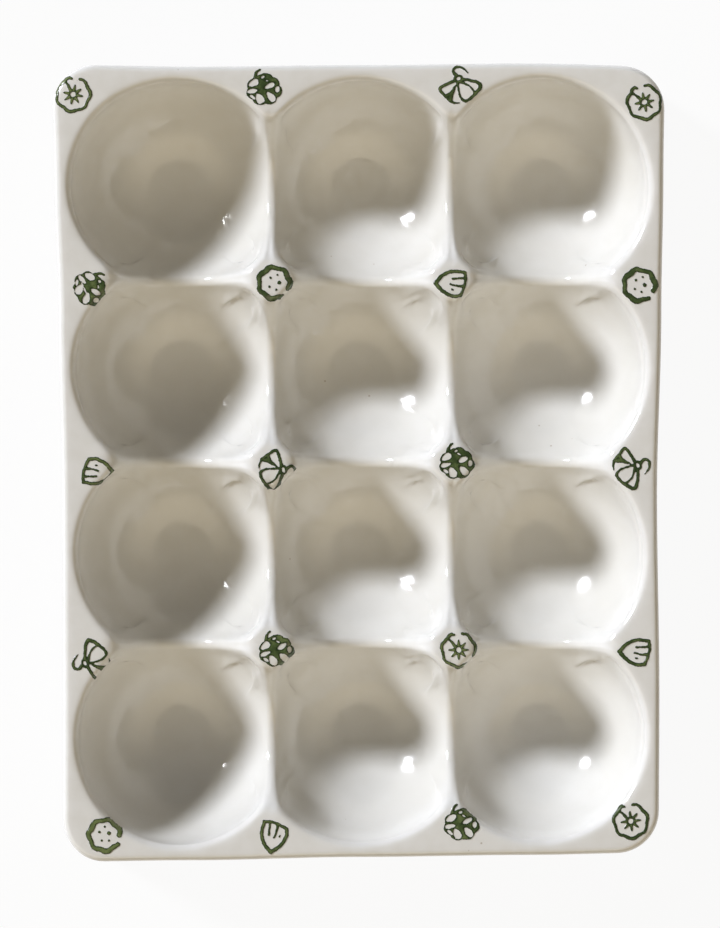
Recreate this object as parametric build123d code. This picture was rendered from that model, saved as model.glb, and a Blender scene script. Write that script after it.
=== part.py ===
from build123d import *
from math import cos, radians, sin, sqrt, tan
import os

# A twelve-cup stoneware egg tray: one fired, glazed casting, and twenty motifs stamped on it in green
# glaze. Millimetres, +Z up. X runs across the three columns of cups and Y along the four rows. The
# origin is the centre of the foot rim's rectangle, on the surface that the tray stands on.

os.makedirs("parts", exist_ok=True)

# Layout of the cups
columns = 3
rows = 4
bowl_radius = 32.0  # each cup is part of a ball of this radius
bowl_centre_rise = 0.0  # how far the ball's centre lies above the deck
column_overlap = 9.5  # how far neighbouring cups run into each other across the tray
row_overlap = 9.0  # and along it

# The casting
wall = 5.0  # thickness of the skirt and of each bowl
deck_thickness = 6.0
bowl_lift = 5.0  # gap between the bowls' undersides and the table
skirt_draft = 2.5  # degrees
corner_radius = 13.0  # of the deck's outline in plan
rim_round = 2.2  # round on the cups' rims and on the ridges between cups
edge_round = 2.0  # round on the deck's outer edge
rim_flat = 0.3  # flat between those two rounds where a cup is nearest the edge
foot_round = 1.5  # round on both edges of the foot rim

# The stamped motifs
stamp_layer = 0.25  # thickness of the green glaze
stamp_radius = 6.0  # about half the width of a motif
stamp_margin = 9.0  # from the deck's outline to the outer motifs' middles

# Sizes that follow from those above
cup_depth = bowl_radius - bowl_centre_rise
mouth_radius = sqrt(bowl_radius**2 - bowl_centre_rise**2)
column_pitch = 2 * bowl_radius - column_overlap
row_pitch = 2 * bowl_radius - row_overlap
deck_height = bowl_lift + wall + cup_depth
ball_height = deck_height + bowl_centre_rise
rim_margin = rim_round + rim_flat + edge_round
deck_width = (columns - 1) * column_pitch + 2 * (mouth_radius + rim_margin)
deck_length = (rows - 1) * row_pitch + 2 * (mouth_radius + rim_margin)
skirt_spread = deck_height * tan(radians(skirt_draft))


# ---- The casting ----


def middles(count, pitch):
    """Places along one axis of a row of things at one pitch, about the origin."""
    return [(i - (count - 1) / 2) * pitch for i in range(count)]


def tapered_block(inset, height):
    """A block on the tray's outline, drawn in by inset and leaning in as it rises."""
    foot = RectangleRounded(
        deck_width + 2 * (skirt_spread - inset),
        deck_length + 2 * (skirt_spread - inset),
        corner_radius + skirt_spread - inset,
    )
    return extrude(foot, height, taper=skirt_draft)


def balls(radius):
    """A ball of one radius about each cup's centre, cut off at the deck."""
    below_deck = Pos(0, 0, deck_height / 2) * Box(2 * deck_width, 2 * deck_length, deck_height)
    places = [(x, y) for y in middles(rows, row_pitch) for x in middles(columns, column_pitch)]
    return [Pos(x, y, ball_height) * Sphere(radius) & below_deck for x, y in places]


def is_near(value, other):
    return abs(value - other) < 0.01


def is_arc(edge, radius):
    return edge.geom_type == GeomType.CIRCLE and is_near(edge.radius, radius)


def rounded(body):
    """Rounds the cups' rims, the ridges between them, the deck's outer edge and the foot rim."""
    ridge_radii = [sqrt(bowl_radius**2 - (pitch / 2) ** 2) for pitch in (column_pitch, row_pitch)]
    arcs = body.edges().filter_by(GeomType.CIRCLE)
    rims = [arc for arc in arcs if is_near(arc.radius, mouth_radius)]
    ridges = [arc for arc in arcs if any(is_near(arc.radius, radius) for radius in ridge_radii)]
    body = body.fillet(rim_round, rims + ridges)
    at_deck = [edge for edge in body.edges() if is_near(edge.bounding_box().min.Z, deck_height)]
    outline = [edge for edge in at_deck if edge.geom_type == GeomType.LINE]
    outline += [edge for edge in at_deck if is_arc(edge, corner_radius)]
    body = body.fillet(edge_round, outline)
    foot = [edge for edge in body.edges() if is_near(edge.bounding_box().max.Z, 0)]
    return body.fillet(foot_round, foot)


def tray_body():
    """Deck and skirt with a hollow underside, and twelve bowls open at the top."""
    block = tapered_block(0, deck_height)
    shell = block - tapered_block(wall, deck_height - deck_thickness)
    shell = (shell + balls(bowl_radius + wall)) & block
    return rounded(shell - balls(bowl_radius))


# ---- The motifs, each drawn about its own middle, with a reach of one ----


def at_angle(reach, degrees):
    """A point at one distance and direction from the middle."""
    return reach * cos(radians(degrees)), reach * sin(radians(degrees))


def wavy_disc(reach, wave, lobes):
    """A disc whose edge swings in and out."""
    steps = [360 * i / (4 * lobes) for i in range(4 * lobes)]
    points = [at_angle(reach + wave * cos(radians(lobes * step)), step) for step in steps]
    return make_face(Spline(points, periodic=True))


def petal(length, width, degrees, start):
    """A leaf-shaped hole that points away from the middle."""
    middle = at_angle(start + length / 2, degrees)
    return Pos(*middle) * Rot(0, 0, degrees) * Ellipse(length / 2, width / 2)


def polygon(*corners):
    return make_face(Polyline(corners, close=True))


def star(tips, long_reach, short_reach):
    """A star with straight edges."""
    turn = 180 / tips
    corners = [at_angle(short_reach if i % 2 else long_reach, turn * i) for i in range(2 * tips)]
    return polygon(*corners)


def notch(width, degrees):
    """A slot from the middle outwards, which opens a ring."""
    return Pos(*at_angle(0.95, degrees)) * Rot(0, 0, degrees) * Rectangle(0.8, width)


def star_slice():
    """An open ring round an eight-pointed star, with a bar that joins them."""
    ring = wavy_disc(0.94, 0.03, 7) - wavy_disc(0.74, 0.03, 7) - notch(0.24, 80)
    bar = Pos(*at_angle(0.6, 128)) * Rot(0, 0, 128) * Rectangle(0.5, 0.13)
    return ring + bar + star(8, 0.53, 0.29) - Circle(0.14)


def segment_slice():
    """A thick slice with seven leaf-shaped holes and a stalk."""
    slice_face = wavy_disc(0.9, 0.05, 8)
    for hole in range(7):
        slice_face -= petal(0.46, 0.27, 360 * hole / 7 + 15, 0.24)
    return slice_face + polygon((-0.36, 0.7), (-0.32, 1.02), (-0.16, 1.1), (-0.2, 0.98), (-0.1, 0.76))


def seed_fan():
    """A bulb with a hooked stalk above and a fan of petals below."""
    bulb = (0.03, 0.45)
    fan = polygon((-0.95, -0.3), (-0.1, 0.5), (0.15, 0.5), (1, -0.1), (0.4, -0.8), (-0.45, -0.85))
    for degrees, width in ((207, 0.2), (242, 0.3), (281, 0.32), (316, 0.2)):
        fan -= Pos(*bulb) * petal(0.72, width, degrees, 0.24)
    stalk = polygon(
        (-0.2, 0.4), (-0.3, 0.95), (0.1, 1.05), (0.4, 0.8), (0.05, 0.88), (-0.1, 0.8), (0.15, 0.4)
    )
    return fan + stalk


def dotted_slice():
    """A thick open ring round five dots."""
    shape = wavy_disc(0.9, 0.05, 6) - wavy_disc(0.62, 0.04, 6) - notch(0.16, -25)
    for degrees in middles(5, 72):
        shape += Pos(*at_angle(0.34, degrees)) * Circle(0.07)
    return shape


def shield(reach):
    """A bowed triangle with a flat side above and a point below."""
    side, top, tip = 0.68 * reach, 0.85 * reach, -0.98 * reach
    left = ThreePointArc((-side, top), (-0.92 * side, -0.1 * reach), (0, tip))
    right = ThreePointArc((0, tip), (0.92 * side, -0.1 * reach), (side, top))
    return make_face(left + right + Line((side, top), (-side, top)))


def bud_slice():
    """A shield-shaped outline with two fingers that reach in from its flat side."""
    shape = shield(1) - Pos(0, -0.03) * shield(0.74)
    for x in middles(2, 0.34):
        shape += Pos(x, 0.42) * Rectangle(0.12, 0.6)
    return shape


# ---- The stamps ----

# One row of motifs for each row of deck corners, from +Y to -Y. Each is its kind, its turn in degrees
# and how far off the grid it was stamped.
stamp_rows = [
    [
        (star_slice, 0, -3, 0),
        (segment_slice, 0, -2, 1),
        (seed_fan, 0, 2, 1.5),
        (star_slice, 25, 3, -2),
    ],
    [
        (segment_slice, -60, 0, -3),
        (dotted_slice, 0, 1.5, -1.5),
        (bud_slice, -90, 0, -1.5),
        (dotted_slice, 0, 2, -2),
    ],
    [
        (bud_slice, 90, 2, -3),
        (seed_fan, -90, 1, -2),
        (segment_slice, 0, 1, -1),
        (seed_fan, -75, 0, -1),
    ],
    [
        (seed_fan, 75, 0.5, -4),
        (segment_slice, 10, 2, -2),
        (star_slice, 10, 2, -1),
        (bud_slice, -90, 1.5, -2),
    ],
    [
        (dotted_slice, 20, 4, -1),
        (bud_slice, 0, 1, -2),
        (segment_slice, 0, 2.5, 0),
        (star_slice, 5, 0, 1),
    ],
]


def stamp(body, motif, turn, x, y):
    """A motif as a thin layer that lies on the casting's top face."""
    block = Pos(x, y, deck_height) * Box(3 * stamp_radius, 3 * stamp_radius, deck_thickness)
    top = body & block
    outline = Pos(x, y, deck_height - deck_thickness / 4) * Rot(0, 0, turn) * scale(motif(), stamp_radius)
    prism = extrude(outline, deck_thickness)
    return (Pos(0, 0, stamp_layer) * top & prism) - top


def stamp_places():
    """Each stamp's row, column and grid point, where the deck is widest between the cups."""
    outer_x = deck_width / 2 - stamp_margin
    outer_y = deck_length / 2 - stamp_margin
    across = [-outer_x, *middles(columns - 1, column_pitch), outer_x]
    along = [outer_y, *reversed(middles(rows - 1, row_pitch)), -outer_y]
    return [(i, j, x, y) for i, y in enumerate(along) for j, x in enumerate(across)]


body = tray_body()
export_step(body, "parts/tray_body.step")
for i, j, x, y in stamp_places():
    motif, turn, shift_x, shift_y = stamp_rows[i][j]
    layer = stamp(body, motif, turn, x + shift_x, y + shift_y)
    export_step(layer, f"parts/stamp_{motif.__name__}_r{i + 1}c{j + 1}.step")
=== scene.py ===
import math

import bmesh
import bpy
import numpy as np
from mathutils.bvhtree import BVHTree
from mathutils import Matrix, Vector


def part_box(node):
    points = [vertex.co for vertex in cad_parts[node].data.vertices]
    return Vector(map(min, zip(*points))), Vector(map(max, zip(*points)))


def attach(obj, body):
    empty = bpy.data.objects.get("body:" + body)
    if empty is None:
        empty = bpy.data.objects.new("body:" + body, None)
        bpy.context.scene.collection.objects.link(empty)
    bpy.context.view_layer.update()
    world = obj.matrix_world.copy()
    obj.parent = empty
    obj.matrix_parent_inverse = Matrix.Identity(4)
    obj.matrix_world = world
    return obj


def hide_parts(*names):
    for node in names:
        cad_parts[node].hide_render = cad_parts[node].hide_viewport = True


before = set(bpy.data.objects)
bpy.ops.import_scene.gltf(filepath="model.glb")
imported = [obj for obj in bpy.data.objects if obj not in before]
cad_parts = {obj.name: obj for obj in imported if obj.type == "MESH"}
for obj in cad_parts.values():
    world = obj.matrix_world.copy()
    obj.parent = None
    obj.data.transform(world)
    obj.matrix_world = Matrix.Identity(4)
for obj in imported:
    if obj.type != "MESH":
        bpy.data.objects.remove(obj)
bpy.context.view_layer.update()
mm = 0.001
bodyLow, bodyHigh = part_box("tray_body")
print("frame loaded, tray stands", round(bodyHigh.z / mm, 1), "mm high")


viewSetup = {
    "height": 1.25,        # camera above the deck
    "seenLength": 0.2775,  # how much of the deck the picture's long side takes in
    "offset": (-0.0003, -0.0005),
}

lightSetup = {
    "keyDirection": 148.0,  # degrees round from +X, where the key stands
    "keyElevation": 25.0,
    "keyStrength": 3.12,
    "keyAngle": 11.0,       # how wide the lamp looks, for the soft edge of the shadows
    "keyColour": (0.97, 1.0, 1.065),
    "roomColour": (1.0, 0.88, 0.68),
    "roomStrength": 0.055,
    "wallColour": (1.0, 0.86, 0.62),
    "wallStrength": 1.32,   # a bright wall in front, seen from the tray
    "wallDirection": -80.0,
    "wallElevation": 25.0,
    "wallTop": 34.0,        # degrees from straight up, where the wall ends under a dark ceiling
    "wallEdge": (-0.01, 0.015),  # how softly it ends there
    "wallRise": (0.22, 0.62),    # upward part of the direction over which it brightens from its foot
    "keyDistance": 2.0,
}

floorSetup = {
    "size": 6.0,
    "gap": 0.2,     # millimetres below the foot
    "paper": 0.86,  # how pale it is where light falls on it
    "glow": 0.93,   # share of plain white that is seen in its place
}


def makeCamera(setup):
    data = bpy.data.cameras.new("overheadCamera")
    data.lens = data.sensor_width * setup["height"] / setup["seenLength"]
    data.clip_end = 20
    camera = bpy.data.objects.new("overheadCamera", data)
    camera.location = (*setup["offset"], bodyHigh.z + setup["height"])
    bpy.context.scene.collection.objects.link(camera)
    bpy.context.scene.camera = camera


def newMaterial(name):
    material = bpy.data.materials.new(name)
    material.use_nodes = True
    material.node_tree.nodes.clear()
    return material, material.node_tree.nodes, material.node_tree.links


def newGroup(name, outputs):
    group = bpy.data.node_groups.new(name, "ShaderNodeTree")
    for title, kind in outputs:
        group.interface.new_socket(title, in_out="OUTPUT", socket_type=kind)
    return group, group.nodes, group.links


def maths(tree, operation, first, second=None, third=None):
    node = tree.nodes.new("ShaderNodeMath")
    node.operation = operation
    for slot, value in zip(node.inputs, (first, second, third)):
        if isinstance(value, (int, float)):
            slot.default_value = value
        elif value is not None:
            tree.links.new(value, slot)
    return node.outputs[0]


def blendColour(tree, share, first, second):
    node = tree.nodes.new("ShaderNodeMix")
    node.data_type = "RGBA"
    tree.links.new(share, node.inputs[0])
    for slot, value in zip((node.inputs[6], node.inputs[7]), (first, second)):
        if isinstance(value, tuple):
            slot.default_value = (*value, 1)
        else:
            tree.links.new(value, slot)
    return node.outputs[2]


def between(tree, value, low, high, start=0.0, end=1.0):
    # nought to one as the value goes from low to high, with a soft start and end
    node = tree.nodes.new("ShaderNodeMapRange")
    node.interpolation_type = "SMOOTHSTEP"
    tree.links.new(value, node.inputs[0])
    for slot, number in zip(node.inputs[1:5], (low, high, start, end)):
        slot.default_value = number
    return node.outputs[0]


def noise(tree, place, scale, detail=2.0):
    node = tree.nodes.new("ShaderNodeTexNoise")
    node.inputs["Scale"].default_value = scale
    node.inputs["Detail"].default_value = detail
    tree.links.new(place, node.inputs["Vector"])
    return node.outputs["Fac"]


def cameraOrGlossy(tree):
    # one where the ray comes from the camera, a mirror or glass
    path = tree.nodes.new("ShaderNodeLightPath")
    first = maths(tree, "MAXIMUM", path.outputs["Is Camera Ray"], path.outputs["Is Glossy Ray"])
    return maths(tree, "MAXIMUM", first, path.outputs["Is Transmission Ray"])


def makeFloor(setup):
    material, nodes, links = newMaterial("studioFloor")
    paper = nodes.new("ShaderNodeBsdfDiffuse")
    paper.inputs["Color"].default_value = (setup["paper"], setup["paper"], setup["paper"], 1)
    glow = nodes.new("ShaderNodeEmission")
    glow.inputs["Strength"].default_value = 1.0
    tree = material.node_tree
    blend = nodes.new("ShaderNodeMixShader")
    links.new(maths(tree, "MULTIPLY", cameraOrGlossy(tree), setup["glow"]), blend.inputs[0])
    links.new(paper.outputs[0], blend.inputs[1])
    links.new(glow.outputs[0], blend.inputs[2])
    out = nodes.new("ShaderNodeOutputMaterial")
    links.new(blend.outputs[0], out.inputs["Surface"])
    height = bodyLow.z - setup["gap"] * mm
    bpy.ops.mesh.primitive_plane_add(size=setup["size"], location=(0, 0, height))
    floor = bpy.context.object
    floor.name = "studioFloor"
    floor.data.materials.append(material)


def placeLamp(data, direction, elevation, distance):
    # a lamp out from the tray, facing it
    lamp = bpy.data.objects.new(data.name, data)
    turn, lift = math.radians(direction), math.radians(elevation)
    lamp.location = (
        distance * math.cos(lift) * math.cos(turn),
        distance * math.cos(lift) * math.sin(turn),
        bodyHigh.z + distance * math.sin(lift),
    )
    lamp.rotation_euler = (math.pi / 2 - lift, 0, turn + math.pi / 2)
    lamp.visible_camera = False
    bpy.context.scene.collection.objects.link(lamp)


def makeLight(setup):
    world = bpy.data.worlds.new("studioWorld")
    bpy.context.scene.world = world
    world.use_nodes = True
    tree = world.node_tree
    nodes, links = tree.nodes, tree.links
    nodes.clear()
    way = nodes.new("ShaderNodeTexCoord").outputs["Generated"]
    height = nodes.new("ShaderNodeSeparateXYZ")
    links.new(way, height.inputs[0])
    facing = nodes.new("ShaderNodeVectorMath")
    facing.operation = "DOT_PRODUCT"
    turn, lift = math.radians(setup["wallDirection"]), math.radians(setup["wallElevation"])
    links.new(way, facing.inputs[0])
    facing.inputs[1].default_value = (
        math.cos(lift) * math.cos(turn),
        math.cos(lift) * math.sin(turn),
        math.sin(lift),
    )
    edge = math.radians(setup["wallTop"])
    before, after = setup["wallEdge"]
    below = between(tree, height.outputs[2], math.cos(edge + before), math.cos(edge + after))
    above = between(tree, height.outputs[2], *setup["wallRise"])
    band = maths(tree, "MULTIPLY", below, above)
    glow = maths(tree, "MULTIPLY", band, maths(tree, "MAXIMUM", facing.outputs["Value"], 0))
    fill = nodes.new("ShaderNodeBackground")
    fill.inputs["Color"].default_value = (*setup["roomColour"], 1)
    fill.inputs["Strength"].default_value = setup["roomStrength"]
    wall = nodes.new("ShaderNodeBackground")
    wall.inputs["Color"].default_value = (*setup["wallColour"], 1)
    links.new(maths(tree, "MULTIPLY", glow, setup["wallStrength"]), wall.inputs["Strength"])
    both = nodes.new("ShaderNodeAddShader")
    links.new(fill.outputs[0], both.inputs[0])
    links.new(wall.outputs[0], both.inputs[1])
    seen = nodes.new("ShaderNodeBackground")
    seen.inputs["Color"].default_value = (1, 1, 1, 1)
    path = nodes.new("ShaderNodeLightPath")
    blend = nodes.new("ShaderNodeMixShader")
    links.new(path.outputs["Is Camera Ray"], blend.inputs[0])
    links.new(both.outputs[0], blend.inputs[1])
    links.new(seen.outputs[0], blend.inputs[2])
    out = nodes.new("ShaderNodeOutputWorld")
    links.new(blend.outputs[0], out.inputs["Surface"])
    data = bpy.data.lights.new("keyLamp", "SUN")
    data.energy = setup["keyStrength"]
    data.angle = math.radians(setup["keyAngle"])
    data.color = setup["keyColour"]
    placeLamp(data, setup["keyDirection"], setup["keyElevation"], setup["keyDistance"])


bpy.context.scene.view_settings.view_transform = "Standard"
makeCamera(viewSetup)
makeFloor(floorSetup)
makeLight(lightSetup)
print("camera, floor and light made")


# Sizes from here on are in millimetres, with heights measured from the deck
trayShape = {
    "columns": 3,
    "rows": 4,
    "columnPitch": 54.5,
    "rowPitch": 55.0,
    "bowlRadius": 32.0,
    "bowlDrop": 0.0,     # how far the bowl's centre lies below the deck
    "rimRound": 2.2,
    "edgeRound": 2.0,
    "rimMargin": 4.5,    # from a cup's rim to the deck's edge
    "cornerRadius": 13.0,
    "draft": 2.5,        # degrees
    "wall": 5.0,
    "footRound": 1.5,
    "deckThickness": 6.0,
    "eyeHeight": 16.0,   # the point over each cup from which its surface is sampled
    "underInset": 3.4,   # how far inside the outline the hidden side's cells end
    "underBlend": 2.5,   # softness of the joins between the bowls' undersides
}

# How finely the surface is divided
trayMesh = {
    "edgeSteps": 24,      # along each side of a cell
    "cornerSteps": 16,    # round each corner of the deck
    "raySteps": 150,      # samples from a cup's middle to its cell's edge
    "rings": 42,          # rings of faces chosen from those
    "evenLength": 2.2,    # millimetres between rings that weigh one
    "bendWeight": 2.6,    # weight of a radian of bend, counted on both sides of it
    "lastRing": 0.98,
    "underRings": 16,
    "weldDistance": 2e-6,  # metres
}


def middles(count, pitch):
    return [(i - (count - 1) / 2) * pitch for i in range(count)]


shape = trayShape
columnX = middles(shape["columns"], shape["columnPitch"])
rowY = middles(shape["rows"], shape["rowPitch"])
deckHalfX = columnX[-1] + shape["bowlRadius"] + shape["rimMargin"]
deckHalfY = rowY[-1] + shape["bowlRadius"] + shape["rimMargin"]
deckHeight = bodyHigh.z / mm


def cupPull(x, y, z, cupX, cupY, grow):
    # how far a point lies inside a cup grown by grow, and the way out of the clay from there
    dx, dy, dz = x - cupX, y - cupY, z + shape["bowlDrop"]
    reach = np.sqrt(dx * dx + dy * dy + dz * dz) + 1e-9
    depth = shape["bowlRadius"] + grow - reach
    return depth, (-dx / reach, -dy / reach, -dz / reach)


def clearance(x, y, z, cups):
    # signed distance from the clay's rounded surface: the clay is worn back by the round
    # and then grown by it again, so every outer edge gets the same round
    grow = shape["rimRound"]
    pulls = [(z + grow, (0 * z, 0 * z, 1 + 0 * z))]
    pulls += [cupPull(x, y, z, cupX, cupY, grow) for cupX, cupY in cups]
    inside = pulls[0][0]
    best = np.maximum(pulls[0][0], 0) ** 2
    for depth, way in pulls[1:]:
        inside = np.maximum(inside, depth)
        best = np.maximum(best, np.maximum(depth, 0) ** 2)

    def dot(a, b):
        return a[0] * b[0] + a[1] * b[1] + a[2] * b[2]

    count = len(pulls)
    for i in range(count):
        for j in range(i):
            a, b, c = pulls[i][0], pulls[j][0], dot(pulls[i][1], pulls[j][1])
            spread = np.maximum(1 - c * c, 1e-6)
            good = (a - c * b >= 0) & (b - c * a >= 0)
            both = (a * a + b * b - 2 * c * a * b) / spread
            best = np.where(good, np.maximum(best, both), best)
    for j in range(2, count):
        a, b, c = pulls[0][0], pulls[1][0], pulls[j][0]
        ab = dot(pulls[0][1], pulls[1][1])
        ac = dot(pulls[0][1], pulls[j][1])
        bc = dot(pulls[1][1], pulls[j][1])
        det = np.maximum(1 + 2 * ab * ac * bc - ab * ab - ac * ac - bc * bc, 1e-6)
        first = ((1 - bc * bc) * a + (ac * bc - ab) * b + (ab * bc - ac) * c) / det
        second = ((ac * bc - ab) * a + (1 - ac * ac) * b + (ab * ac - bc) * c) / det
        third = ((ab * bc - ac) * a + (ab * ac - bc) * b + (1 - ab * ab) * c) / det
        good = (first >= 0) & (second >= 0) & (third >= 0)
        best = np.where(good, np.maximum(best, a * first + b * second + c * third), best)
    outside = np.sqrt(best) - grow
    return np.where(inside > 0, outside, inside - grow)


def nearbyCups(x, y, cupX, cupY):
    # the cup itself and its neighbours on the side where the points lie
    stepX = np.where(x >= cupX, 1, -1) * shape["columnPitch"]
    stepY = np.where(y >= cupY, 1, -1) * shape["rowPitch"]
    farAway = 1e4
    sideX, sideY = cupX + stepX, cupY + stepY
    sideX = np.where(np.abs(sideX) > columnX[-1] + 1, farAway, sideX)
    sideY = np.where(np.abs(sideY) > rowY[-1] + 1, farAway, sideY)
    return [(cupX, cupY), (sideX, cupY + 0 * x), (cupX + 0 * x, sideY)]


def topHeight(x, y, cupX, cupY):
    # height of the clay's top face over a place in one cup's cell
    cups = nearbyCups(x, y, cupX, cupY)
    low, high = np.full_like(x, -60.0), np.full_like(x, 2.0)
    for _ in range(40):
        middle = (low + high) / 2
        air = clearance(x, y, middle, cups) > 0
        high = np.where(air, middle, high)
        low = np.where(air, low, middle)
    return (low + high) / 2


def surfaceAlong(angles, azimuth, edgeReach, cupX, cupY):
    # points where rays from the eye over the cup meet the clay
    eye = shape["eyeHeight"]
    sine, cosine = np.sin(angles), np.cos(angles)
    far = np.minimum(edgeReach / np.maximum(sine, 1e-6), (eye + shape["bowlRadius"] + 8) / cosine)
    cups = nearbyCups(cupX + np.cos(azimuth), cupY + np.sin(azimuth), cupX, cupY)
    low, high = np.zeros_like(angles), far
    for _ in range(36):
        middle = (low + high) / 2
        x = cupX + middle * sine * np.cos(azimuth)
        y = cupY + middle * sine * np.sin(azimuth)
        air = clearance(x, y, eye - middle * cosine, cups) > 0
        low = np.where(air, middle, low)
        high = np.where(air, high, middle)
    reach = (low + high) / 2
    return reach * sine, eye - reach * cosine


def cellEdge(column, row):
    # plan points round one cup's cell, anticlockwise: midlines inside the tray, and at the outside
    # the line where the deck starts to round over
    insetX, insetY = deckHalfX - shape["edgeRound"], deckHalfY - shape["edgeRound"]
    x, y = columnX[column], rowY[row]
    left = -insetX if column == 0 else x - shape["columnPitch"] / 2
    right = insetX if column == shape["columns"] - 1 else x + shape["columnPitch"] / 2
    low = -insetY if row == 0 else y - shape["rowPitch"] / 2
    high = insetY if row == shape["rows"] - 1 else y + shape["rowPitch"] / 2
    corners = [(right, low), (right, high), (left, high), (left, low)]
    radius = shape["cornerRadius"] - shape["edgeRound"]
    steps, arcSteps = trayMesh["edgeSteps"], trayMesh["cornerSteps"]

    def isDeckCorner(point):
        return abs(abs(point[0]) - insetX) < 1e-6 and abs(abs(point[1]) - insetY) < 1e-6

    points = []
    for k, corner in enumerate(corners):
        after = corners[(k + 1) % 4]
        a, b = np.array(corner, float), np.array(after, float)
        way = (b - a) / np.linalg.norm(b - a)
        if isDeckCorner(corner):
            a = a + way * radius
        if isDeckCorner(after):
            b = b - way * radius
        points += [tuple(a + (b - a) * i / steps) for i in range(steps)]
        if isDeckCorner(after):
            centre = b + np.array([-way[1], way[0]]) * radius
            start = math.atan2(b[1] - centre[1], b[0] - centre[0])
            points += [
                (centre[0] + radius * math.cos(start + math.pi / 2 * i / arcSteps),
                 centre[1] + radius * math.sin(start + math.pi / 2 * i / arcSteps))
                for i in range(arcSteps)
            ]
    return np.array(points)


def addFan(vertices, faces, rings, pole):
    # quads between rings, and a fan to the pole
    base = len(vertices)
    count = rings.shape[0]
    steps = rings.shape[1]
    vertices.extend(rings.reshape(-1, 3).tolist())
    vertices.append(pole)
    for i in range(count):
        j = (i + 1) % count
        faces.append((base + count * steps, base + i * steps, base + j * steps))
        for k in range(steps - 1):
            here, beside = base + i * steps + k, base + j * steps + k
            faces.append((here, here + 1, beside + 1, beside))


def topCell(vertices, faces, column, row):
    cupX, cupY = columnX[column], rowY[row]
    edge = cellEdge(column, row)
    edgeZ = topHeight(edge[:, 0], edge[:, 1], cupX, cupY)
    offset = edge - np.array([cupX, cupY])
    reach = np.hypot(offset[:, 0], offset[:, 1])
    azimuth = np.arctan2(offset[:, 1], offset[:, 0])
    widest = np.arctan2(reach, shape["eyeHeight"] - edgeZ)
    share = np.linspace(0, 1, trayMesh["raySteps"])
    angles = widest[:, None] * share[None, :]
    r, z = surfaceAlong(angles, azimuth[:, None], reach[:, None], cupX, cupY)
    stepR, stepZ = np.diff(r, axis=1), np.diff(z, axis=1)
    turn = np.unwrap(np.arctan2(stepZ, stepR), axis=1)
    bend = np.abs(np.diff(turn, axis=1))
    weight = np.hypot(stepR, stepZ) / trayMesh["evenLength"]
    weight[:, 1:] += bend * trayMesh["bendWeight"]
    weight[:, :-1] += bend * trayMesh["bendWeight"]
    total = np.concatenate([np.zeros((len(edge), 1)), np.cumsum(weight, axis=1)], axis=1)
    rings = trayMesh["rings"]
    chosen = np.empty((len(edge), rings))
    for i in range(len(edge)):
        wanted = np.linspace(0, total[i, -1], rings + 1)[1:]
        chosen[i] = np.interp(wanted, total[i], angles[i])
    chosen[:, -1] = widest * trayMesh["lastRing"]
    r, z = surfaceAlong(chosen, azimuth[:, None], reach[:, None], cupX, cupY)
    points = np.empty((len(edge), rings, 3))
    points[:, :, 0] = cupX + r * np.cos(azimuth)[:, None]
    points[:, :, 1] = cupY + r * np.sin(azimuth)[:, None]
    points[:, :, 2] = z
    points[:, -1, 0], points[:, -1, 1], points[:, -1, 2] = edge[:, 0], edge[:, 1], edgeZ
    addFan(vertices, faces, points, [cupX, cupY, -shape["bowlRadius"] - shape["bowlDrop"]])


def softLower(a, b, blend):
    # the lower of two heights, with a soft join
    mix = np.clip(0.5 + 0.5 * (b - a) / blend, 0, 1)
    return b + (a - b) * mix - blend * mix * (1 - mix)


def undersideHeight(x, y):
    radius = shape["bowlRadius"] + shape["wall"]
    height = np.full_like(x, -shape["deckThickness"])
    for cupX in columnX:
        for cupY in rowY:
            away = (x - cupX) ** 2 + (y - cupY) ** 2
            ball = -shape["bowlDrop"] - np.sqrt(np.maximum(radius ** 2 - away, 1.0))
            joined = softLower(height, ball, shape["underBlend"])
            height = np.where(away < (radius + 6) ** 2, joined, height)
    return height


def drawnIn(edge, amount):
    # the outer parts of a cell's edge moved towards the middle of the tray
    insetX, insetY = deckHalfX - shape["edgeRound"], deckHalfY - shape["edgeRound"]
    radius = shape["cornerRadius"] - shape["edgeRound"]
    out = edge.copy()
    coreX, coreY = insetX - radius, insetY - radius
    start = radius - 3 * amount
    for i, (x, y) in enumerate(edge):
        nearX, nearY = min(max(x, -coreX), coreX), min(max(y, -coreY), coreY)
        away = math.hypot(x - nearX, y - nearY)
        if away > start:
            share = (start + (away - start) * 2 / 3) / away
            out[i] = (nearX + (x - nearX) * share, nearY + (y - nearY) * share)
    return out


def undersideCell(vertices, faces, column, row):
    cupX, cupY = columnX[column], rowY[row]
    edge = drawnIn(cellEdge(column, row), shape["underInset"])
    offset = edge - np.array([cupX, cupY])
    steps = trayMesh["underRings"]
    share = np.sin(np.linspace(0, math.pi / 2, steps + 1)[1:])
    points = np.empty((len(edge), steps, 3))
    points[:, :, 0] = cupX + offset[:, 0][:, None] * share
    points[:, :, 1] = cupY + offset[:, 1][:, None] * share
    points[:, :, 2] = undersideHeight(points[:, :, 0], points[:, :, 1])
    middle = np.array([cupX]), np.array([cupY])
    addFan(vertices, faces, points, [cupX, cupY, float(undersideHeight(*middle)[0])])


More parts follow.
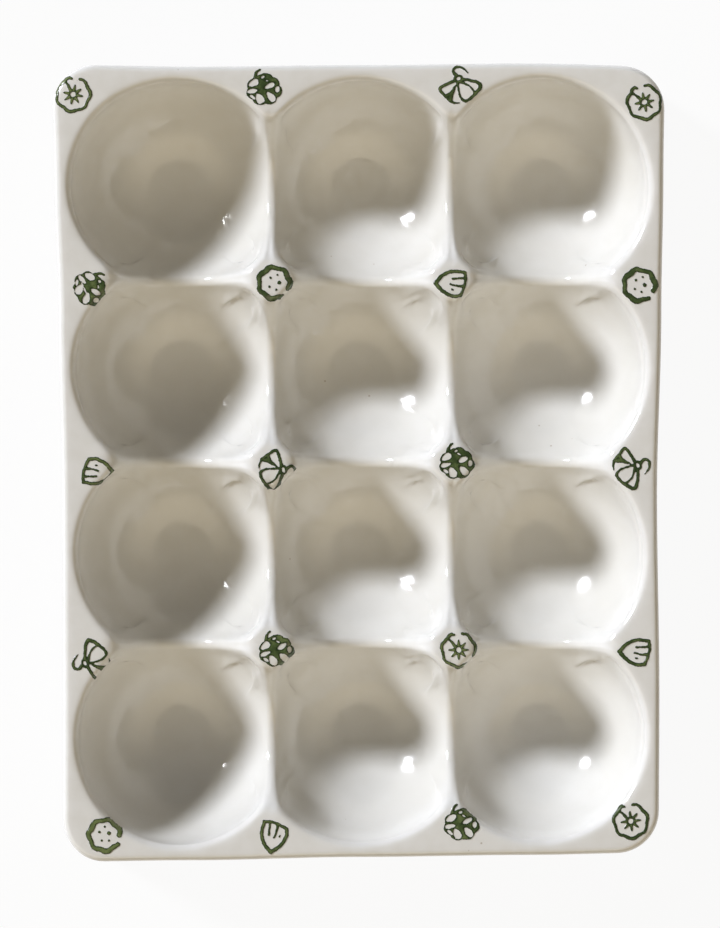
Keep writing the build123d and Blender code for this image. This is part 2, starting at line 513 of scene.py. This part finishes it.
def outline():
    # the deck's outline at the start of its outer round, anticlockwise, with the outward way
    chain = {}
    insetX, insetY = deckHalfX - shape["edgeRound"], deckHalfY - shape["edgeRound"]
    radius = shape["cornerRadius"] - shape["edgeRound"]
    coreX, coreY = insetX - radius, insetY - radius
    for column in range(shape["columns"]):
        for row in range(shape["rows"]):
            for x, y in cellEdge(column, row):
                nearX, nearY = min(max(x, -coreX), coreX), min(max(y, -coreY), coreY)
                away = math.hypot(x - nearX, y - nearY)
                if away > radius - 1e-6:
                    way = ((x - nearX) / away, (y - nearY) / away)
                    chain[(round(x, 5), round(y, 5))] = (x, y, *way)
    points = np.array(list(chain.values()))

    def along(point):
        # distance round a box on the same middle, so that straight runs keep their order
        return math.atan2(point[1] / deckHalfY, point[0] / deckHalfX)

    return np.array(sorted(points.tolist(), key=along))


def skirtProfile():
    # offsets from the outline and heights, from the deck's round down to the inside of the foot
    draft = math.radians(shape["draft"])
    edge, foot, floor = shape["edgeRound"], shape["footRound"], -deckHeight
    edgeSteps, footSteps = 7, 5
    footClear = 0.05  # keeps the foot just inside the full width
    profile = []
    for i in range(edgeSteps + 1):
        angle = math.pi / 2 + (draft - math.pi / 2) * i / edgeSteps
        profile.append((edge * math.cos(angle), -edge + edge * math.sin(angle)))
    startX, startZ = profile[-1]
    footX = startX + (startZ - floor) * math.tan(draft)
    for share in (0.08, 0.2, 0.35, 0.5, 0.65, 0.8, 0.92):
        z = startZ + (floor + foot - startZ) * share
        profile.append((startX + (startZ - z) * math.tan(draft), z))
    for i in range(footSteps + 1):
        angle = math.pi / 2 * i / footSteps
        outer = footX - foot + foot * math.cos(angle) - footClear
        profile.append((outer, floor + foot - foot * math.sin(angle)))
    inner = footX - shape["wall"]
    for i in range(footSteps + 1):
        angle = math.pi / 2 * i / footSteps
        profile.append((inner + foot - foot * math.sin(angle), floor + foot - foot * math.cos(angle)))
    for share in (0.35, 0.7):
        leaned = inner + (-shape["underInset"] - inner) * share * 0.5
        profile.append((leaned, floor + foot + 20 * share))
    return np.array(profile)


def skirt(vertices, faces):
    line = outline()
    profile = skirtProfile()
    count, steps = len(line), len(profile) + 1
    base = len(vertices)
    inset = line[:, :2] - shape["underInset"] * line[:, 2:]
    top = undersideHeight(inset[:, 0], inset[:, 1])
    for i in range(count):
        x, y, wayX, wayY = line[i]
        vertices.extend([x + wayX * d, y + wayY * d, z] for d, z in profile)
        vertices.append([inset[i, 0], inset[i, 1], float(top[i])])
    for i in range(count):
        j = (i + 1) % count
        for k in range(steps - 1):
            here, beside = base + i * steps + k, base + j * steps + k
            faces.append((here, beside, beside + 1, here + 1))


# How the firing pulled the tray out of true: how far each side stands out (mm) at places along it
kilnWarp = {
    "along": (-120.0, -70.0, -10.0, 45.0, 85.0, 120.0),
    "left": (-1.9, -1.9, -1.7, -0.6, 0.7, 1.6),
    "right": (-1.8, -1.6, -2.3, -1.0, -0.4, 0.0),
    "across": (-95.0, -50.0, 0.0, 50.0, 95.0),
    "back": (0.2, -0.5, 0.0, 0.5, -0.6),
    "front": (0.7, 0.2, -0.8, -1.4, -2.2),
    "hand": 0.22,  # small swells and dents all over
    "quick": 0.6,  # how strong the shorter swells are beside the long ones
    "calmEdge": 14.0,  # over this much at the outside the swells fade away
    "calmFoot": 12.0,
}


def softCurve(places, values, x):
    # values at uneven places, joined with level tangents
    places, values = np.array(places), np.array(values)
    i = np.clip(np.searchsorted(places, x) - 1, 0, len(places) - 2)
    share = np.clip((x - places[i]) / (places[i + 1] - places[i]), 0, 1)
    share = share * share * (3 - 2 * share)
    return values[i] + (values[i + 1] - values[i]) * share


def kilnFired(points):
    # points in mm, heights from the deck, moved by the warp and the hand of the maker
    x, y, z = points[:, 0], points[:, 1], points[:, 2]
    warp = kilnWarp
    lift = np.clip(1 + z / deckHeight, 0, 1)
    lift = lift * lift * (3 - 2 * lift)

    def side(amount, outward):
        weight = np.clip((outward - 0.35) / 0.65, 0, 1) ** 1.5
        return np.where(amount > 0, amount * lift, amount) * weight

    right = side(softCurve(warp["along"], warp["right"], y), x / deckHalfX)
    left = side(softCurve(warp["along"], warp["left"], y), -x / deckHalfX)
    back = side(softCurve(warp["across"], warp["back"], x), y / deckHalfY)
    front = side(softCurve(warp["across"], warp["front"], x), -y / deckHalfY)
    hand = warp["hand"]
    quick, calm = warp["quick"], warp["calmEdge"]
    body = np.clip((z + deckHeight) / warp["calmFoot"], 0, 1)
    inner = np.clip((deckHalfX - np.abs(x)) / calm, 0, 1) * np.clip((deckHalfY - np.abs(y)) / calm, 0, 1)
    longX = np.sin(y / 19 + 1.3) * np.cos(x / 31 + z / 17)
    longY = np.sin(x / 17 + 0.6) * np.cos(y / 29 - z / 15)
    dx = hand * (longX + quick * np.sin(y / 9.3 + x / 13 + 0.4)) * inner
    dy = hand * (longY + quick * np.sin(x / 10.1 - y / 12 + 2.0)) * inner
    dz = hand * (np.sin(x / 23 + 0.8) * np.sin(y / 27 + 0.5) - 1.0) * body * 0.7
    return np.stack([x + right - left + dx, y + back - front + dy, z + dz], axis=1)


def toMetres(points):
    fired = kilnFired(np.asarray(points, float))
    fired[:, 2] += deckHeight
    return fired * mm


def meshObject(name, points, faces):
    mesh = bpy.data.meshes.new(name)
    mesh.from_pydata(points.tolist(), [], faces)
    piece = bpy.data.objects.new(name, mesh)
    bpy.context.scene.collection.objects.link(piece)
    return piece


def ramp(value, low, high):
    # nought to one as the value goes from low to high, softly
    share = np.clip((value - low) / (high - low), 0, 1)
    return share * share * (3 - 2 * share)


# Where the glaze fills the folds: each pair is the places (mm) between which the softening comes in
foldSoftening = {
    "fromPlateau": (7.0, 10.5),  # distance from the nearest plateau's middle
    "toBowl": (17.5, 12.0),
    "belowDeck": (-0.35, -1.6),
    "aboveBowl": (-17.0, -9.0),
    "ridgeShare": 0.25,  # a fainter softening, all along the ridges
    "ridgeHeight": (-8.0, -2.0),
    "ridgeReach": (5.0, 9.0),
    "fromEdge": (2.5, 6.0),
    "strength": 0.7,
    "passes": 14,
}


def soften(points, edges):
    # the glaze fills the folds where a plateau's corner runs out into the ridges
    plateauX = np.array(middles(shape["columns"] + 1, shape["columnPitch"]))
    plateauY = np.array(middles(shape["rows"] + 1, shape["rowPitch"]))
    x, y, z = points[:, 0], points[:, 1], points[:, 2] - deckHeight
    awayX = np.abs(x[:, None] - plateauX).min(axis=1)
    awayY = np.abs(y[:, None] - plateauY).min(axis=1)
    reach = np.hypot(awayX, awayY)
    inside = np.minimum(deckHalfX - np.abs(x), deckHalfY - np.abs(y))
    fold = foldSoftening
    weight = ramp(reach, *fold["fromPlateau"]) * ramp(reach, *fold["toBowl"])
    weight = weight * ramp(z, *fold["belowDeck"]) * ramp(z, *fold["aboveBowl"])
    ridge = fold["ridgeShare"] * ramp(z, *fold["ridgeHeight"]) * ramp(reach, *fold["ridgeReach"])
    weight = np.maximum(weight, ridge) * ramp(inside, *fold["fromEdge"]) * fold["strength"]
    a, b = edges[:, 0], edges[:, 1]
    count = np.bincount(a, minlength=len(points)) + np.bincount(b, minlength=len(points))
    for _ in range(fold["passes"]):
        total = np.empty_like(points)
        for axis in range(3):
            values = points[:, axis]
            total[:, axis] = np.bincount(a, values[b], len(points)) + np.bincount(b, values[a], len(points))
        points = points + weight[:, None] * (total / count[:, None] - points)
    return points


def makeTray():
    vertices, faces = [], []
    for column in range(shape["columns"]):
        for row in range(shape["rows"]):
            topCell(vertices, faces, column, row)
            undersideCell(vertices, faces, column, row)
    skirt(vertices, faces)
    tray = meshObject("fired_tray", toMetres(vertices), faces)
    work = bmesh.new()
    work.from_mesh(tray.data)
    bmesh.ops.remove_doubles(work, verts=work.verts, dist=trayMesh["weldDistance"])
    bmesh.ops.recalc_face_normals(work, faces=work.faces)
    openEdges = [e for e in work.edges if not e.is_manifold]
    print("tray has", len(work.verts), "points,", len(work.faces), "faces,", len(openEdges), "open edges")
    work.to_mesh(tray.data)
    work.free()
    points = np.array([v.co for v in tray.data.vertices]) / mm
    edges = np.array([e.vertices for e in tray.data.edges])
    tray.data.vertices.foreach_set("co", (soften(points, edges) * mm).ravel())
    tray.data.update()
    tray.data.shade_smooth()
    return tray


tray = makeTray()
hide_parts("tray_body")
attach(tray, "root")


# Each motif is drawn as a field over the plane, in millimetres about its middle: above nought where
# there is colour, and nearly the distance from the edge of the colour.


def curveThrough(points, steps=6):
    # a smooth run of places and widths through the points given
    p = np.array([points[0], *points, points[-1]], float)
    run = []
    for i in range(1, len(p) - 2):
        for t in np.arange(steps) / steps:
            a, b = 2 * p[i], p[i + 1] - p[i - 1]
            c = 2 * p[i - 1] - 5 * p[i] + 4 * p[i + 1] - p[i + 2]
            d = 3 * p[i] - p[i - 1] - 3 * p[i + 1] + p[i + 2]
            run.append((a + b * t + c * t * t + d * t ** 3) / 2)
    run.append(p[-1])
    return np.array(run)


def stroke(x, y, points):
    # a brush line through (x, y, width) points
    run = curveThrough(points)
    field = np.full_like(x, -9.0)
    for a, b in zip(run[:-1], run[1:]):
        wayX, wayY = b[0] - a[0], b[1] - a[1]
        length = wayX ** 2 + wayY ** 2 + 1e-9
        t = np.clip(((x - a[0]) * wayX + (y - a[1]) * wayY) / length, 0, 1)
        width = a[2] + (b[2] - a[2]) * t
        field = np.maximum(field, width / 2 - np.hypot(x - a[0] - t * wayX, y - a[1] - t * wayY))
    return field


def leaf(x, y, middle, size, turn, taper=0.0):
    # an oval, narrower at one end by the taper
    c, s = math.cos(math.radians(turn)), math.sin(math.radians(turn))
    u = (x - middle[0]) * c + (y - middle[1]) * s
    v = (y - middle[1]) * c - (x - middle[0]) * s
    width = size[1] / 2 * np.clip(1 + taper * u / (size[0] / 2), 0.25, 2)
    return (1 - np.hypot(u / (size[0] / 2), v / width)) * min(size) / 2


def ringRun(radius, wave, waves, start, end, width, squash=1.0):
    # points of an open wavy ring between two angles
    count = int(abs(end - start) / 11)
    run = []
    for i in range(count + 1):
        angle = math.radians(start + (end - start) * i / count)
        r = radius + wave * math.cos(waves * angle)
        swell = 1 + 0.14 * math.sin(3 * angle + 1)
        run.append((r * math.cos(angle), squash * r * math.sin(angle), width * swell))
    return run


def starSlice(x, y):
    # a seed pod cut across: an open ring round an eight-pointed star
    ring = ringRun(5.0, 0.22, 7, 66, -258, 0.98)
    ink = stroke(x, y, ring)
    ink = np.maximum(ink, stroke(x, y, [(-2.5, 4.3, 0.9), (-1.4, 5.0, 1.0), (-0.5, 4.7, 0.8)]))
    ink = np.maximum(ink, stroke(x, y, [(-2.7, 4.1, 0.7), (-1.7, 3.0, 0.75), (-0.9, 1.7, 0.8)]))
    angle = np.arctan2(y, x) + 0.2
    reach = 1.55 + 1.5 * (0.5 + 0.5 * np.cos(8 * angle)) ** 1.6
    star = (reach - np.hypot(x, y)) * 0.62
    return np.maximum(ink, np.minimum(star, np.hypot(x, y) - 0.78))


def segmentSlice(x, y):
    # a cut fruit: a lobed patch of colour with bare cells fanned about its middle
    angle = np.arctan2(y / 0.86, x)
    reach = 4.85 + 0.62 * np.abs(np.cos(3.5 * angle + 0.4)) + 0.25 * np.cos(angle - 0.4)
    ink = (reach - np.hypot(x, y / 0.86)) * 0.9
    ink = np.maximum(ink, leaf(x, y, (1.2, 3.6), (4.0, 2.8), -25))
    stalk = [(-2.6, 3.0, 1.3), (-2.3, 4.7, 0.9), (-1.7, 5.7, 0.7), (-1.1, 6.1, 0.6)]
    ink = np.maximum(ink, stroke(x, y, stalk))
    # each cell's middle, size, turn and taper
    cells = [
        ((-2.9, 2.1), (3.2, 1.9), 30, 0.2),
        ((-3.2, -0.3), (3.1, 1.3), 12, -0.2),
        ((-1.1, -2.5), (3.3, 2.2), -62, 0.3),
        ((2.3, -2.0), (3.4, 1.9), -48, 0.25),
        ((2.0, 1.3), (3.0, 1.45), 27, 0.1),
        ((4.2, 0.2), (1.8, 1.35), 80, 0.0),
        ((-3.2, -2.1), (2.0, 0.85), -38, 0.0),
        ((-0.1, 3.9), (1.1, 0.7), 20, 0.0),
        ((0.9, 2.9), (1.3, 0.4), -30, 0.0),
    ]
    for middle, size, turn, taper in cells:
        ink = np.minimum(ink, -leaf(x, y, middle, size, turn, taper))
    return ink


def seedFan(x, y):
    # a seed head from the side: a bulb under a bent stalk, over a fan of cells
    lines = [
        [
            (-0.8, 3.2, 1.2), (-1.9, 4.5, 0.9), (-1.2, 5.8, 0.9),
            (0.4, 5.8, 0.8), (1.5, 5.1, 0.55), (2.5, 4.1, 0.25),
        ],
        [(-0.8, 1.9, 1.1), (-3.0, 1.1, 0.95), (-5.9, -0.6, 0.95), (-4.4, -2.7, 0.9), (-2.6, -4.5, 0.9)],
        [(-2.6, -4.5, 0.9), (-1.2, -4.9, 0.6), (0.0, -4.9, 0.25)],
        [(-2.7, -4.3, 1.0), (-2.6, -2.6, 1.5), (-2.0, -1.2, 1.1), (-1.2, 0.2, 0.5)],
        [(-3.9, -2.7, 1.2), (-2.9, -2.3, 1.2)],
        [
            (-0.7, 1.2, 0.8), (-0.3, -1.2, 0.6), (0.2, -3.0, 0.7),
            (1.4, -4.3, 0.9), (3.0, -3.7, 0.9), (4.6, -2.3, 1.0),
        ],
        [(4.6, -2.3, 1.1), (6.2, -0.1, 1.2), (5.6, 1.1, 1.1), (3.0, 1.9, 0.9), (0.3, 2.3, 1.1)],
        [(0.3, 1.3, 0.8), (2.6, 0.4, 0.6), (4.0, -1.1, 0.6), (4.5, -2.3, 0.8)],
    ]
    ink = leaf(x, y, (-0.4, 2.3), (3.0, 2.6), 0)
    for line in lines:
        ink = np.maximum(ink, stroke(x, y, line))
    return np.minimum(ink, -leaf(x, y, (-0.4, 2.4), (1.4, 0.95), 20))


def dottedSlice(x, y):
    # a thick wavy ring, left open at one side, round a few seeds
    ink = stroke(x, y, ringRun(4.6, 0.24, 7, -22, 304, 1.55))
    seeds = [(-1.1, 1.5, 0.38), (1.0, 2.4, 0.33), (1.5, 0.1, 0.58), (-1.4, -1.1, 0.38), (0.6, -2.0, 0.35)]
    for seedX, seedY, radius in seeds:
        ink = np.maximum(ink, radius - np.hypot(x - seedX, y - seedY))
    return ink


def budSlice(x, y):
    # a bud cut along: a rounded shield with three fingers hanging from its flat side
    lines = [
        [(-3.3, 4.2, 1.0), (-1.2, 4.4, 0.9), (1.2, 3.9, 0.9), (3.6, 2.9, 1.1)],
        [(3.6, 2.9, 1.1), (3.8, 0.6, 1.1), (2.4, -2.3, 1.15), (-0.1, -4.6, 1.3)],
        [(-0.1, -4.6, 1.3), (-2.3, -2.6, 1.1), (-3.6, 0.4, 1.05), (-3.3, 4.2, 1.0)],
        [(-1.6, 3.9, 0.8), (-1.5, 2.2, 0.6), (-1.4, 0.5, 0.7)],
        [(0.8, 3.6, 1.0), (0.7, 1.6, 0.6), (0.2, -0.1, 0.65)],
        [(1.9, 0.7, 0.5), (1.8, 0.3, 0.6)],
    ]
    ink = np.full_like(x, -9.0)
    for line in lines:
        ink = np.maximum(ink, stroke(x, y, line))
    return ink


stampKinds = {
    "star_slice": starSlice,
    "segment_slice": segmentSlice,
    "seed_fan": seedFan,
    "dotted_slice": dottedSlice,
    "bud_slice": budSlice,
}

# Degrees each motif is turned, by its row and column
stampTurns = {
    "r1c4": 22, "r2c1": -60, "r2c3": -90, "r3c1": 88, "r3c2": -98, "r3c4": -82,
    "r4c1": 98, "r4c2": 6, "r4c3": 12, "r4c4": -90, "r5c1": 22, "r5c2": -8, "r5c4": 18,
}

# How pale the colour came out, where it isn't the usual dark green
stampPaleness = {
    "r1c1": 0.75, "r1c3": 0.2, "r1c4": 0.15, "r2c1": 0.25, "r2c3": 0.3, "r3c1": 0.5, "r3c2": -0.1,
    "r4c1": 0.25, "r4c2": 0.3, "r4c3": 0.55, "r4c4": 0.2, "r5c1": 0.85, "r5c2": 0.4, "r5c3": 0.2,
}

stampSetup = {
    "step": 0.17,    # mesh grid over each motif
    "reach": 7.2,    # half the side of the square that is searched for colour
    "grain": 0.075,  # how ragged the edges are
    "edge": 0.09,    # height of the colour at its edge
    "body": 0.13,    # and how much more it stands further in
    "sunk": 0.3,     # how far its hidden side reaches into the glaze
    "steepest": 2.6,  # drop below the deck at which a motif stops, over the tray's edge
    "probe": 0.02,    # step for measuring how the field slopes
    "furthest": 0.12,  # most that an edge point moves to meet the colour's edge
    "rounding": 0.55,  # width over which the colour rises to its full height
    "border": 0.6,     # and over which its dark edge gives way
}

# The pale line through the motif that was struck twice
strayLine = [(-2.4, 3.4, 0.2), (-1.8, 0.9, 0.4), (-0.4, -2.2, 0.4), (-1.0, -4.6, 0.2)]


def inkField(kind, place, x, y):
    turn = math.radians(stampTurns.get(place, 0))
    u = x * math.cos(turn) + y * math.sin(turn)
    v = y * math.cos(turn) - x * math.sin(turn)
    ink = stampKinds[kind](u, v)
    if place == "r2c1":
        # struck twice: a pale line wanders through, and the left of it is missing
        ink = np.minimum(ink, -stroke(x, y, strayLine))
        ink = np.minimum(ink, x + 4.6 + 0.5 * np.sin(1.7 * y))
    seed = float(int(place[1]) * 7 + int(place[3]) * 13)
    grain = np.sin(3.1 * x + 1.4 * y + seed) + np.sin(3.5 * y - 1.9 * x + 2 * seed)
    grain += 0.7 * np.sin(6.1 * x - 4.7 * y + 3 * seed) + 0.5 * np.sin(9.7 * y + 7.9 * x + seed)
    return ink + stampSetup["grain"] * grain * 0.5


def makeStamp(name, ground):
    setup = stampSetup
    kind, place = name.removeprefix("stamp_").rsplit("_", 1)
    low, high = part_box(name)
    middle = np.array([[(low.x + high.x) / 2 / mm, (low.y + high.y) / 2 / mm, 0.0]])
    middleX, middleY = kilnFired(middle)[0][:2]
    count = int(2 * setup["reach"] / setup["step"]) + 1
    line = np.linspace(-setup["reach"], setup["reach"], count)
    x, y = [grid.ravel() for grid in np.meshgrid(line, line, indexing="ij")]
    field = inkField(kind, place, x, y)
    cells = []
    for i in range(count - 1):
        for j in range(count - 1):
            corners = (i * count + j, (i + 1) * count + j, (i + 1) * count + j + 1, i * count + j + 1)
            if max(field[c] for c in corners) > 0:
                cells.append(corners)
    used = sorted({c for cell in cells for c in cell})
    number = {c: i for i, c in enumerate(used)}
    x, y, field = x[used], y[used], field[used]
    probe, furthest = setup["probe"], setup["furthest"]
    for _ in range(3):
        slopeX = inkField(kind, place, x + probe, y) - inkField(kind, place, x - probe, y)
        slopeY = inkField(kind, place, x, y + probe) - inkField(kind, place, x, y - probe)
        slopeX, slopeY = slopeX / (2 * probe), slopeY / (2 * probe)
        slope = np.maximum(slopeX ** 2 + slopeY ** 2, 0.2)
        shift = np.where(field < 0, np.clip(-field / slope, -furthest, furthest), 0)
        x, y = x + shift * slopeX, y + shift * slopeY
        field = inkField(kind, place, x, y)
    points = []
    for px, py in zip(x, y):
        hit = ground.ray_cast(((middleX + px) * mm, (middleY + py) * mm, bodyHigh.z + 0.02), (0, 0, -1))
        points.append(hit[0].z / mm if hit[0] else -99)
    groundZ = np.array(points)
    whole = groundZ > deckHeight - setup["steepest"]
    faces = [tuple(number[c] for c in cell) for cell in cells]
    faces = [face for face in faces if all(whole[c] for c in face)]
    body = np.sqrt(np.clip(field / setup["rounding"], 0, 1))
    top = groundZ + setup["edge"] + setup["body"] * body
    total = len(x)
    plan = np.stack([middleX + x, middleY + y], axis=1)
    upper = np.column_stack([plan, top])
    lower = np.column_stack([plan, groundZ - setup["sunk"]])
    sides = {}
    for face in faces:
        for a, b in zip(face, face[1:] + face[:1]):
            sides[(a, b)] = True
    walls = [(b, a, a + total, b + total) for a, b in sides if (b, a) not in sides]
    underneath = [tuple(c + total for c in reversed(face)) for face in faces]
    bothSides = np.vstack([upper, lower]) * mm
    piece = meshObject("motif_" + name.removeprefix("stamp_"), bothSides, faces + underneath + walls)
    depth = piece.data.attributes.new("inkDepth", "FLOAT", "POINT")
    depth.data.foreach_set("value", np.tile(np.clip(field / setup["border"], 0, 1), 2))
    pale = piece.data.attributes.new("inkPale", "FLOAT", "POINT")
    pale.data.foreach_set("value", np.full(2 * total, stampPaleness.get(place, 0.0)))
    work = bmesh.new()
    work.from_mesh(piece.data)
    bmesh.ops.delete(work, geom=[v for v in work.verts if not v.link_faces], context="VERTS")
    work.to_mesh(piece.data)
    work.free()
    piece.data.shade_smooth()
    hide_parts(name)
    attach(piece, "root")
    return piece


ground = BVHTree.FromPolygons([v.co for v in tray.data.vertices], [p.vertices for p in tray.data.polygons])
stamps = [makeStamp(name, ground) for name in sorted(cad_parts) if name.startswith("stamp_")]
print(len(stamps), "motifs made,", sum(len(s.data.polygons) for s in stamps), "faces")


potGlaze = {
    "colour": (0.93, 0.93, 0.922),
    "paintedBowlShade": (0.80, 0.79, 0.755),  # painted shade: darker, greyer glaze low in the bowls, standing in for the shade there
    "bowlShadeHeights": (0.040, 0.024),     # heights in metres between which the painted bowl shade comes in
    "mottleScale": 38,
    "drift": (0.79, 0.775, 0.73),
    "driftScale": 210,
    "driftMost": 0.22,
    "clay": (0.60, 0.53, 0.43),
    "darkClay": (0.50, 0.42, 0.32),
    "clayScale": 900,
    "clayRoughness": 0.85,
    "speck": (0.36, 0.27, 0.17),
    "speckScale": 130,
    "speckSize": (0.055, 0.02),
    "speckPlaces": (0.64, 0.70),    # noise levels over which specks come in
    "speckStrength": 0.55,
    "roughness": (0.07, 0.15),
    "bareFoot": 0.0011,             # metres that the glaze is wiped off above the table
    "wipedBlur": 0.0006,
    "wipedWander": 0.0009,
    "ringTurn": 2.3,                # radians of ring for each millimetre from a cup's middle
    "ringWander": 9.0,
    "ringReach": (15.0, 4.0),
    "ringHeight": 0.0000035,        # metres, as are the next three
    "swellHeight": 0.00014,
    "pitHeight": 0.0000055,
    "clayHeight": 0.00004,
}


def potGlazeGroup():
    colours = potGlaze
    group, nodes, links = newGroup("potGlaze", [
        ("Colour", "NodeSocketColor"), ("Roughness", "NodeSocketFloat"), ("Height", "NodeSocketFloat"),
    ])
    place = nodes.new("ShaderNodeTexCoord").outputs["Object"]
    split = nodes.new("ShaderNodeSeparateXYZ")
    links.new(place, split.inputs[0])

    def fromCup(value, pitch, start):
        # millimetres from the nearest cup's middle, along one way
        share = maths(group, "FRACT", maths(group, "MULTIPLY_ADD", value, 1000 / pitch, start))
        return maths(group, "MULTIPLY", maths(group, "SUBTRACT", share, 0.5), pitch)

    # the cups lie half a pitch off the middle along the tray, but not across it
    cupX = fromCup(split.outputs[0], shape["columnPitch"], 20.5)
    cupY = fromCup(split.outputs[1], shape["rowPitch"], 20.0)
    squareX, squareY = maths(group, "MULTIPLY", cupX, cupX), maths(group, "MULTIPLY", cupY, cupY)
    reach = maths(group, "SQRT", maths(group, "ADD", squareX, squareY))
    mottle = noise(group, place, colours["mottleScale"], 3)
    drift = noise(group, place, colours["driftScale"], 4)
    # painted shade: the colour darkens low in each bowl, standing in for the shade there, varied by the
    # mottle
    lowInBowl = between(group, split.outputs[2], *colours["bowlShadeHeights"])
    paintedShade = maths(group, "MULTIPLY", lowInBowl, between(group, mottle, 0.25, 0.75, 0.5, 1.0))
    colour = blendColour(group, paintedShade, colours["colour"], colours["paintedBowlShade"])
    drifted = between(group, drift, 0.35, 0.75, 0.0, colours["driftMost"])
    colour = blendColour(group, drifted, colour, colours["drift"])
    # a few iron specks come through
    specks = nodes.new("ShaderNodeTexVoronoi")
    specks.inputs["Scale"].default_value = colours["speckScale"]
    links.new(place, specks.inputs["Vector"])
    chosen = between(group, noise(group, place, 61, 0), *colours["speckPlaces"])
    dots = between(group, specks.outputs["Distance"], *colours["speckSize"])
    speck = maths(group, "MULTIPLY", maths(group, "MULTIPLY", dots, chosen), colours["speckStrength"])
    colour = blendColour(group, speck, colour, colours["speck"])
    # the foot stands bare, with the glaze wiped off along an uneven line
    uneven = noise(group, place, 160, 2)
    wiped = maths(group, "MULTIPLY_ADD", uneven, colours["wipedWander"], split.outputs[2])
    bare = between(group, wiped, colours["bareFoot"] + colours["wipedBlur"], colours["bareFoot"])
    grit = noise(group, place, colours["clayScale"], 3)
    clay = blendColour(group, grit, colours["clay"], colours["darkClay"])
    colour = blendColour(group, bare, colour, clay)
    rough = between(group, mottle, 0.3, 0.75, *colours["roughness"])
    rough = maths(group, "MAXIMUM", rough, maths(group, "MULTIPLY", bare, colours["clayRoughness"]))
    # finger rings in the bottom of each bowl, slow waves and fine pitting
    even = maths(group, "MULTIPLY", reach, colours["ringTurn"])
    turning = maths(group, "MULTIPLY_ADD", noise(group, place, 70, 1), colours["ringWander"], even)
    middle = between(group, reach, *colours["ringReach"])
    rings = maths(group, "MULTIPLY", maths(group, "SINE", turning), middle)
    height = maths(group, "MULTIPLY", rings, colours["ringHeight"])
    height = maths(group, "MULTIPLY_ADD", noise(group, place, 55, 1), colours["swellHeight"], height)
    height = maths(group, "MULTIPLY_ADD", noise(group, place, 420, 2), colours["pitHeight"], height)
    gritty = maths(group, "MULTIPLY", bare, noise(group, place, 1800, 2))
    height = maths(group, "MULTIPLY_ADD", gritty, colours["clayHeight"], height)
    out = nodes.new("NodeGroupOutput")
    for title, value in (("Colour", colour), ("Roughness", rough), ("Height", height)):
        links.new(value, out.inputs[title])
    return group


stampInk = {
    "dark": (0.030, 0.052, 0.020),
    "green": (0.090, 0.135, 0.046),
    "olive": (0.185, 0.235, 0.088),
    "thin": (0.36, 0.41, 0.24),
    "roughness": (0.10, 0.2),
    "patchScale": 420,
    "grainScale": 1900,
    "grainHeight": 0.00003,  # metres
    "paleShare": 0.75,
}


def stampInkGroup():
    colours = stampInk
    group, nodes, links = newGroup("stampInk", [
        ("Colour", "NodeSocketColor"), ("Roughness", "NodeSocketFloat"), ("Height", "NodeSocketFloat"),
    ])
    place = nodes.new("ShaderNodeTexCoord").outputs["Object"]
    depth = nodes.new("ShaderNodeAttribute")
    depth.attribute_name = "inkDepth"
    pale = nodes.new("ShaderNodeAttribute")
    pale.attribute_name = "inkPale"
    patch = noise(group, place, colours["patchScale"], 3)
    grain = noise(group, place, colours["grainScale"], 2)
    # colour gathers at the edges of each line and runs thin along its middle
    middle = between(group, depth.outputs["Fac"], 0.15, 0.85)
    palest = maths(group, "MULTIPLY", pale.outputs["Fac"], colours["paleShare"])
    light = maths(group, "ADD", palest, between(group, patch, 0.3, 0.7, -0.25, 0.4))
    green = blendColour(group, between(group, light, 0.0, 0.9), colours["green"], colours["olive"])
    share = maths(group, "MULTIPLY", middle, between(group, light, -0.4, 0.5, 0.25, 1.0))
    colour = blendColour(group, share, colours["dark"], green)
    bare = between(group, grain, 0.56, 0.74)
    worn = maths(group, "MULTIPLY", bare, between(group, light, 0.0, 0.8, 0.1, 0.6))
    colour = blendColour(group, worn, colour, colours["thin"])
    rough = between(group, patch, 0.3, 0.7, *colours["roughness"])
    height = maths(group, "MULTIPLY", grain, colours["grainHeight"])
    out = nodes.new("NodeGroupOutput")
    for title, value in (("Colour", colour), ("Roughness", rough), ("Height", height)):
        links.new(value, out.inputs[title])
    return group


glazeIor = 1.62


def glazeMaterial(name, group):
    material, nodes, links = newMaterial(name)
    source = nodes.new("ShaderNodeGroup")
    source.node_tree = group
    bump = nodes.new("ShaderNodeBump")
    bump.inputs["Strength"].default_value = 1.0
    bump.inputs["Distance"].default_value = 1.0
    glaze = nodes.new("ShaderNodeBsdfPrincipled")
    glaze.inputs["IOR"].default_value = glazeIor
    out = nodes.new("ShaderNodeOutputMaterial")
    links.new(source.outputs["Colour"], glaze.inputs["Base Color"])
    links.new(source.outputs["Roughness"], glaze.inputs["Roughness"])
    links.new(source.outputs["Height"], bump.inputs["Height"])
    links.new(bump.outputs[0], glaze.inputs["Normal"])
    links.new(glaze.outputs[0], out.inputs["Surface"])
    return material


tray.data.materials.append(glazeMaterial("whiteGlaze", potGlazeGroup()))
greenGlaze = glazeMaterial("greenGlaze", stampInkGroup())
for stamp in stamps:
    stamp.data.materials.append(greenGlaze)
print("glazes made")
